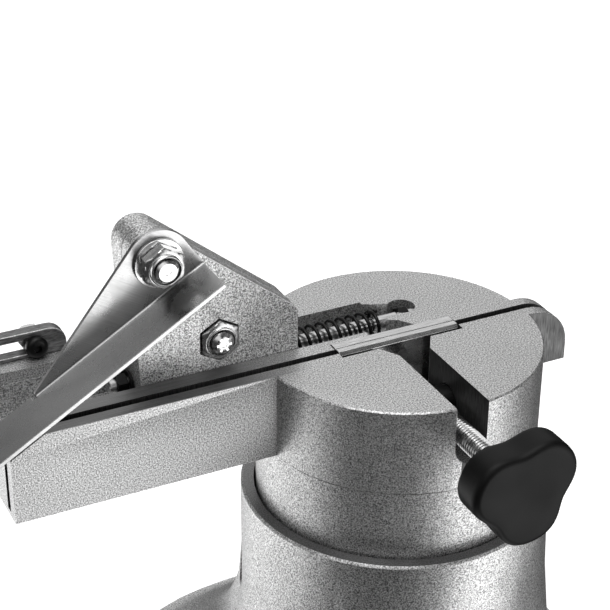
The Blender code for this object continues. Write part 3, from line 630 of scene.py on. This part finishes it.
def bolt(end, at, tip_radius):
    """A countersunk socket bolt from the back to its end, with rings of thread near the end."""
    cone = BOLT_HEAD - SINK_R + BOLT_R
    profile = [(BOLT_HEAD - 2.4, 0), (BOLT_HEAD - 2.4, 2.88), (BOLT_HEAD - 0.1, 2.88),
               (BOLT_HEAD, 3.1), (BOLT_HEAD, SINK_R - 0.4), (BOLT_HEAD - 0.2, SINK_R - 0.2),
               (cone, BOLT_R)]
    tip = end + BOLT_R - tip_radius
    for i in range(CRESTS):
        crest = tip + 0.15 + (CRESTS - 1 - i) * PITCH
        profile += [(crest + 0.55, BOLT_R - GROOVE), (crest + 0.1, BOLT_R),
                    (crest - 0.05, BOLT_R)]
    profile += [(end + 0.25, tip_radius + 0.05), (end, tip_radius - 0.2), (end, 1.1),
                (end + 0.22, 0.9), (end + 0.22, 0)]
    x, z = at
    return turned(profile, "Y", (x, 0, z), 48, [(5.0, 1.2, 2.95)])


def lock_nut(start, seat_end, end, at):
    """A nylon-insert nut: hexagon first, then the turned-over collar that holds the insert."""
    profile = [(start, NUT_BORE), (start, NUT_ACROSS * 0.46)]
    profile += hex_end(start, NUT_ACROSS, 1, 0.96)
    profile += hex_end(seat_end, NUT_ACROSS, -1, 0.88)[::-1]
    collar = NUT_ACROSS * 0.42
    for i in range(6):
        a = math.pi / 2 * i / 5
        profile.append((seat_end + (end - seat_end) * math.sin(a),
                        collar - 0.6 * (1 - math.cos(a))))
    profile += [(end + 0.15, collar - 0.75), (end + INSERT_RECESS, collar - 0.8),
                (end + INSERT_RECESS, NUT_BORE), (start, NUT_BORE)]
    x, z = at
    hexagon = (NUT_ACROSS, NUT_ACROSS * 0.465, FAR_OUT)
    return turned(profile, "Y", (x, 0, z), 48, [hexagon], CORNER_UP)


def ring(start, end, outer, hole, round_off=0.15):
    """Profile of a flat washer or spacer with its outer corners just rounded."""
    return [(start, hole), (start, outer - round_off), (start + round_off, outer),
            (end - round_off, outer), (end, outer - round_off), (end, hole), (start, hole)]


for name, at, nut_ends, bolt_end, tip in (("lower", LOWER, (11.3, 6.4, 5.8), 4.0, 2.9),
                                          ("pivot", PIVOT, (-0.1, -4.6, -6.0), -6.8, 3.3)):
    x, z = at
    finish_piece(bolt(bolt_end, at, tip), f"{name}_countersunk_bolt", "carriage", [zinc],
                 [f"{name}_bolt"])
    finish_piece(lock_nut(*nut_ends, at), f"{name}_lock_nut", "carriage", [zinc],
                 [f"{name}_nut"])
    seat = nut_ends[2] + 1.25
    insert = turned(ring(seat, seat - 0.5, 4.6, 4.0, -0.05), "Y", (x, 0, z), 40)
    finish_piece(insert, f"{name}_nut_insert", "carriage", [nylon])
x, z = PIVOT
finish_piece(turned(ring(0.2, 1.4, 8.5, 4.2), "Y", (x, 0, z), 64), "pivot_flat_washer",
             "carriage", [zinc], ["pivot_washer"])
finish_piece(turned(ring(3.5, 7.7, 7.0, 4.2, 0.3), "Y", (x, 0, z), 48), "pivot_spacer_turned",
             "carriage", [ground_steel], ["pivot_spacer"])

# ------------------------------------------------------------------------------------ lever
# Bright rolled sheet steel, 1.5 mm thick: a rounded ear on the pivot, bent over into a long flat
# handle strip. A small relief is cut where the bend ends, and the handle's far end is rounded.
SHEET = 1.5
LEVER_DIP = math.radians(30.5)
LEVER_MID_Y = 2.45
FOLD = 12.6              # outer face of the strip, from the pivot
BEND_R = 1.7             # of the bend, at the middle of the sheet
EAR_R = 11.0
EAR_ENDS = (-11.6, 56.6)
STRIP_OUT = -14.8
STRIP_IN = 3.2
HANDLE_END = 165.0
HANDLE_ROUND = 7.0
RELIEF = 1.6
PIVOT_HOLE = 4.3
BEND_STEPS = 6

rolled_sheet, tree = new_material("bright_cold_rolled_sheet")
place = add(tree, "TexCoord")
turn = add(tree, "Mapping", {"Rotation": (0, -LEVER_DIP, 0)}, {"Vector": place.outputs["Object"]})
pull = add(tree, "Mapping", {"Scale": (0.03, 1, 1)}, {"Vector": turn.outputs[0]})
lines = add(tree, "TexNoise", {"Scale": 1 / (0.35 * MM), "Detail": 3.0, "Roughness": 0.6},
            {"Vector": pull.outputs[0]})
cloud = add(tree, "TexNoise", {"Scale": 1 / (12 * MM), "Detail": 4.0, "Roughness": 0.6},
            {"Vector": place.outputs["Object"]})
base = add(tree, "Mix", {6: colour("#9a9a9a"), 7: colour("#c9c9c9")},
           {0: lines.outputs["Fac"]}, data_type="RGBA")
gloss = add(tree, "MapRange", {"From Min": 0.3, "From Max": 0.7, "To Min": 0.20, "To Max": 0.36},
            {"Value": cloud.outputs["Fac"]})
grain = add(tree, "Bump", {"Strength": 0.15, "Distance": 0.02 * MM},
            {"Height": lines.outputs["Fac"]})
shader = add(tree, "BsdfPrincipled", {"Metallic": 1.0},
             {"Base Color": base.outputs[2], "Roughness": gloss.outputs[0],
              "Normal": grain.outputs["Normal"]})
add(tree, "OutputMaterial", links={"Surface": shader.outputs["BSDF"]})

# The sheet's middle surface in the lever's own directions: x along the handle, y across the arm
# and z away from the pivot towards the fold.
strip_mid = FOLD - SHEET / 2
bend_top = strip_mid - BEND_R
bend_out = LEVER_MID_Y - BEND_R
near_end, far_end = EAR_ENDS
NEAR = 0.001
bm = bmesh.new()


def across_bend():
    """The strip's section at the ear's near end: the bend, then the flat out to its edge."""
    points = []
    for i in range(BEND_STEPS + 1):
        a = math.pi / 2 * i / BEND_STEPS
        points.append((bend_out + BEND_R * math.cos(a), bend_top + BEND_R * math.sin(a)))
    return points + [(STRIP_OUT / 2, strip_mid), (STRIP_OUT, strip_mid)]


section = [bm.verts.new((near_end, y, n)) for y, n in across_bend()]
edges = [bm.edges.new(pair) for pair in zip(section, section[1:])]
bent = bmesh.ops.extrude_edge_only(bm, edges=edges)["geom"]
bmesh.ops.translate(bm, verts=[g for g in bent if isinstance(g, bmesh.types.BMVert)],
                    vec=(far_end - near_end, 0, 0))
flat = [e for e in bent if isinstance(e, bmesh.types.BMEdge)
        and all(abs(v.co.x - far_end) < NEAR and abs(v.co.z - strip_mid) < NEAR for v in e.verts)]
step = bmesh.ops.extrude_edge_only(bm, edges=flat)["geom"]
bmesh.ops.translate(bm, verts=[g for g in step if isinstance(g, bmesh.types.BMVert)],
                    vec=(RELIEF, 0, 0))
inner = max((v for v in step if isinstance(v, bmesh.types.BMVert)), key=lambda v: v.co.y)
side = bm.verts.new((inner.co.x, STRIP_IN, strip_mid))
tail = [e for e in step if isinstance(e, bmesh.types.BMEdge)
        and all(abs(v.co.x - far_end - RELIEF) < NEAR for v in e.verts)]
tail.append(bm.edges.new((inner, side)))
handle = bmesh.ops.extrude_edge_only(bm, edges=tail)["geom"]
ends = [g for g in handle if isinstance(g, bmesh.types.BMVert)]
bmesh.ops.translate(bm, verts=ends, vec=(HANDLE_END - far_end - RELIEF, 0, 0))
corners = [v for v in ends if v.co.y > STRIP_IN - NEAR or v.co.y < STRIP_OUT + NEAR]
bmesh.ops.bevel(bm, geom=corners, offset=HANDLE_ROUND, offset_type="OFFSET", segments=8,
                profile=0.5, affect="VERTICES", material=-1)

# The ear's outline runs from the bend round the pivot, and its hole is cut out of it.
outline = []
for tip, turn_side in ((far_end, -1), (near_end, 1)):
    reach = math.hypot(tip, bend_top)
    lean = math.acos(EAR_R / reach)
    outline.append(math.atan2(bend_top, tip) + turn_side * lean)
start, end = outline[0], outline[1] - 2 * math.pi
ARC_STEPS = 32
ear = [bm.verts.new((end_x, LEVER_MID_Y, bend_top)) for end_x in (near_end, far_end)]
for i in range(ARC_STEPS + 1):
    a = start + (end - start) * i / ARC_STEPS
    ear.append(bm.verts.new((EAR_R * math.cos(a), LEVER_MID_Y, EAR_R * math.sin(a))))
rim = [bm.edges.new(pair) for pair in zip(ear, ear[1:] + ear[:1])]
hole = bmesh.ops.create_circle(bm, segments=32, radius=PIVOT_HOLE,
                               matrix=Matrix.Translation((0, LEVER_MID_Y, 0)) @ AXES["Y"].to_4x4())
rim += list({e for v in hole["verts"] for e in v.link_edges})
bmesh.ops.triangle_fill(bm, edges=rim, use_beauty=True, use_dissolve=False)
bmesh.ops.remove_doubles(bm, verts=bm.verts, dist=0.01)
bmesh.ops.recalc_face_normals(bm, faces=bm.faces)
flip = Matrix(((-1, 0, 0), (0, 1, 0), (0, 0, -1)))
bmesh.ops.transform(bm, matrix=flip.to_4x4(), verts=bm.verts)
bmesh.ops.rotate(bm, verts=bm.verts, cent=(0, 0, 0), matrix=Matrix.Rotation(-LEVER_DIP, 3, "Y"))
bmesh.ops.translate(bm, verts=bm.verts, vec=(PIVOT[0], 0, PIVOT[1]))
bmesh.ops.scale(bm, vec=(MM, MM, MM), verts=bm.verts)
lever_pressing = finish_piece(bm, "lever_pressing", "lever", [rolled_sheet], ["lever"],
                              sharp=60)
wall = lever_pressing.modifiers.new("sheet", "SOLIDIFY")
wall.thickness = SHEET * MM
wall.offset = 0.0
wall.use_even_offset = True
round_edges(lever_pressing, 0.22, limit=50)

# ------------------------------------------------------------------------------------ rod and spring
# A ground rod lies along the channel, screwed into the head with a small lock nut, with a washer
# and a nut on its far end. The black return spring sits round it.
ROD = (-101.0, 29.2)
ROD_R = 2.5
ROD_NUT = 7.0            # across flats
ROD_BORE = 2.6
ROD_AXIS = (0, 18.0, HEAD_TOP - 4.0)
SPRING_R = 4.65
WIRE_R = 0.65
SPRING_X = (-34.2, 1.5)
TURNS = 10
SPRING_STEPS = 28
low, high = ROD
shape = [(low, 0), (low, 2.0), (low + 0.5, ROD_R), (high - 0.5, ROD_R), (high, 2.0), (high, 0)]
finish_piece(turned(shape, "X", ROD_AXIS, 32), "guide_rod_ground", "head",
             [ground_steel], ["guide_rod"])


def plain_nut(start, end, across, hole, at, axis):
    """A plain hex nut, chamfered on both faces."""
    profile = [(start, hole)] + hex_end(start, across, -1) + hex_end(end, across, 1)[::-1]
    profile += [(end, hole), (start, hole)]
    return turned(profile, axis, at, 48, [(across, across * 0.475, FAR_OUT)])


finish_piece(plain_nut(9.3, 13.3, ROD_NUT, ROD_BORE, ROD_AXIS, "X"), "rod_lock_nut_hex", "head",
             [black_oxide], ["rod_lock_nut"])
finish_piece(turned(ring(-94.1, -93.1, 4.6, ROD_BORE), "X", ROD_AXIS), "rod_stop_washer_flat", "head",
             [black_oxide], ["rod_stop_washer"])
finish_piece(plain_nut(-98.4, -94.4, ROD_NUT, ROD_BORE, ROD_AXIS, "X"), "rod_stop_nut_hex", "head",
             [black_oxide], ["rod_stop_nut"])

spring_steel = milled_steel("black_oiled_spring_steel", "#0c0c0c", "#181818", 0.26, 0.6,
                            (1, 1, 1), 0.6, 0.1)
bm = bmesh.new()
start, end = SPRING_X[0] + WIRE_R, SPRING_X[1] - WIRE_R
closed = 2 * WIRE_R + 0.12
open_pitch = (end - start - 2 * closed) / (TURNS - 2)
x0, y0, z0 = ROD_AXIS
wire = bmesh.ops.create_circle(bm, segments=12, radius=WIRE_R,
                               matrix=Matrix.Translation((start, y0, z0 + SPRING_R))
                               @ Matrix.Rotation(math.pi / 2, 4, "X"))
loop = list({e for v in wire["verts"] for e in v.link_edges})
first = list(loop)
for turns, pitch in ((1, closed), (TURNS - 2, open_pitch), (1, closed)):
    spun = bmesh.ops.spin(bm, geom=loop, cent=(0, y0, z0), axis=(1, 0, 0),
                          dvec=(pitch / SPRING_STEPS, 0, 0), angle=2 * math.pi * turns,
                          steps=SPRING_STEPS * turns, use_merge=False, use_duplicate=False)
    loop = [g for g in spun["geom_last"] if isinstance(g, bmesh.types.BMEdge)]
bmesh.ops.contextual_create(bm, geom=first)
bmesh.ops.contextual_create(bm, geom=loop)
bmesh.ops.scale(bm, vec=(MM, MM, MM), verts=bm.verts)
bmesh.ops.recalc_face_normals(bm, faces=bm.faces)
mesh = bpy.data.meshes.new("coiled_spring")
bm.to_mesh(mesh)
bm.free()
mesh.shade_smooth()
mesh.materials.append(spring_steel)
coiled_spring = bpy.data.objects.new("coiled_spring", mesh)
bpy.context.scene.collection.objects.link(coiled_spring)
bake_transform(coiled_spring)
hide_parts("return_spring")

# ------------------------------------------------------------------------------------ gib
# A milled iron strip that takes up the play behind the carriage. Two black socket set screws push
# on it through the arm's rear wall.
GIB_SCREWS = (-85.0, -50.0)
GIB_SCREW_Z = HEAD_TOP - 6.0
gib_strip = finish_piece(welded("gib_strip"), "gib_strip_milled", "head",
                         [milled_iron], ["gib_strip"])
round_edges(gib_strip, 0.3)
for number, x in enumerate(GIB_SCREWS, 1):
    shape = [(27.8, 0), (27.8, 1.2), (28.4, 1.95), (33.4, 1.95), (33.6, 1.75), (33.6, 1.16),
             (31.6, 1.16), (31.6, 0)]
    finish_piece(turned(shape, "Y", (x, 0, GIB_SCREW_Z), 36, [(2.0, 0.5, 1.2)]),
                 f"gib_screw_{number}_socket_set", "head", [black_oxide],
                 [f"gib_screw_{number}"])

# ------------------------------------------------------------------------------------ rear fence
# A milled steel plate on the arm's back, with a slot for a stop. Two black socket screws hold it,
# and a black button-head screw and a nut clamp in the slot.
FENCE_SCREWS = (-136.0, -116.0)
FENCE_SCREW_Z = HEAD_TOP - 9.0
STOP_AT = (-120.0, 0, HEAD_TOP + 8.6)
fence_steel = milled_steel("milled_fence_steel", "#474747", "#8c8c8c", 0.42, 0.8, (0.25, 1, 1),
                           0.8, 0.35)
fence_plate = finish_piece(welded("rear_fence"), "rear_fence_plate", "head",
                           [fence_steel, worn_and_highlight_edge], ["rear_fence"])
round_edges(fence_plate, 0.4, 1)
for number, x in enumerate(FENCE_SCREWS, 1):
    shape = [(28.9, 0), (28.9, 1.7), (29.2, 2.0), (38.9, 2.0), (38.9, 3.4), (39.1, 3.5),
             (41.6, 3.5), (42.1, 3.3), (42.4, 2.8), (42.4, 1.73), (40.6, 1.73), (40.4, 0)]
    finish_piece(turned(shape, "Y", (x, 0, FENCE_SCREW_Z), 36, [(3.0, 0.6, 1.8)]),
                 f"fence_screw_{number}_socket_head", "head", [black_oxide],
                 [f"fence_screw_{number}"])
shape = [(32.4, 0), (32.2, 1.44), (31.0, 1.44), (31.0, 2.4), (31.2, 3.0), (31.8, 3.7), (32.4, 3.9),
         (33.8, 3.9), (34.0, 3.8), (34.0, 2.15), (43.6, 2.15), (44.0, 1.8), (44.0, 0)]
finish_piece(turned(shape, "Y", STOP_AT, 36, [(2.5, 0.5, 1.6)]), "stop_button_screw", "head",
             [black_oxide], ["stop_screw"])
finish_piece(plain_nut(38.9, 42.5, 8.0, 2.3, STOP_AT, "Y"), "stop_hex_nut", "head",
             [zinc], ["stop_nut"])

# ------------------------------------------------------------------------------------ underside
# A black sheet-steel cover closes the base, with three countersunk cross-recess screws. Above it
# are the kingpin and its nut, the washers that it runs on, and the screws that hold the head.
COVER_CIRCLE = 47.5      # radius of the circle that the screws stand on
cover_paint = cast_paint("black_satin_enamel_on_sheet", "#161616", "#242424", 0.42, 0.1,
                         0.6, 0.2, 0.1)
cover_disc = finish_piece(welded("bottom_cover"), "bottom_cover_disc", "base",
                          [cover_paint], ["bottom_cover"])
round_edges(cover_disc, 0.3)
for number in range(3):
    a = 2 * math.pi * (number + 0.5) / 3
    shape = [(1.3, 0), (1.1, 1.2), (0.25, 1.3), (0.2, 3.4), (0.3, 3.6), (0.5, 3.6), (2.3, 2.0),
             (10.7, 2.0), (11.0, 1.6), (11.0, 0)]
    at = (COVER_CIRCLE * math.cos(a), COVER_CIRCLE * math.sin(a), 0)
    finish_piece(turned(shape, "Z", at, 36, [(2.2, 0.5, 1.4)]),
                 f"cover_screw_{number + 1}_countersunk", "base", [zinc],
                 [f"cover_screw_{number + 1}"])

bronze = milled_steel("oiled_bearing_bronze", "#7d5f35", "#a58150", 0.35, 0.4, (1, 1, 1),
                      1.0, 0.2)
for node, material in (("thrust_washer", bronze), ("wave_washer", ground_steel),
                       ("kingpin", zinc), ("kingpin_nut", zinc), ("head_screw_1", zinc),
                       ("head_screw_2", zinc), ("head_screw_3", zinc)):
    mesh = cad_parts[node].data
    mesh.materials.clear()
    mesh.materials.append(material)
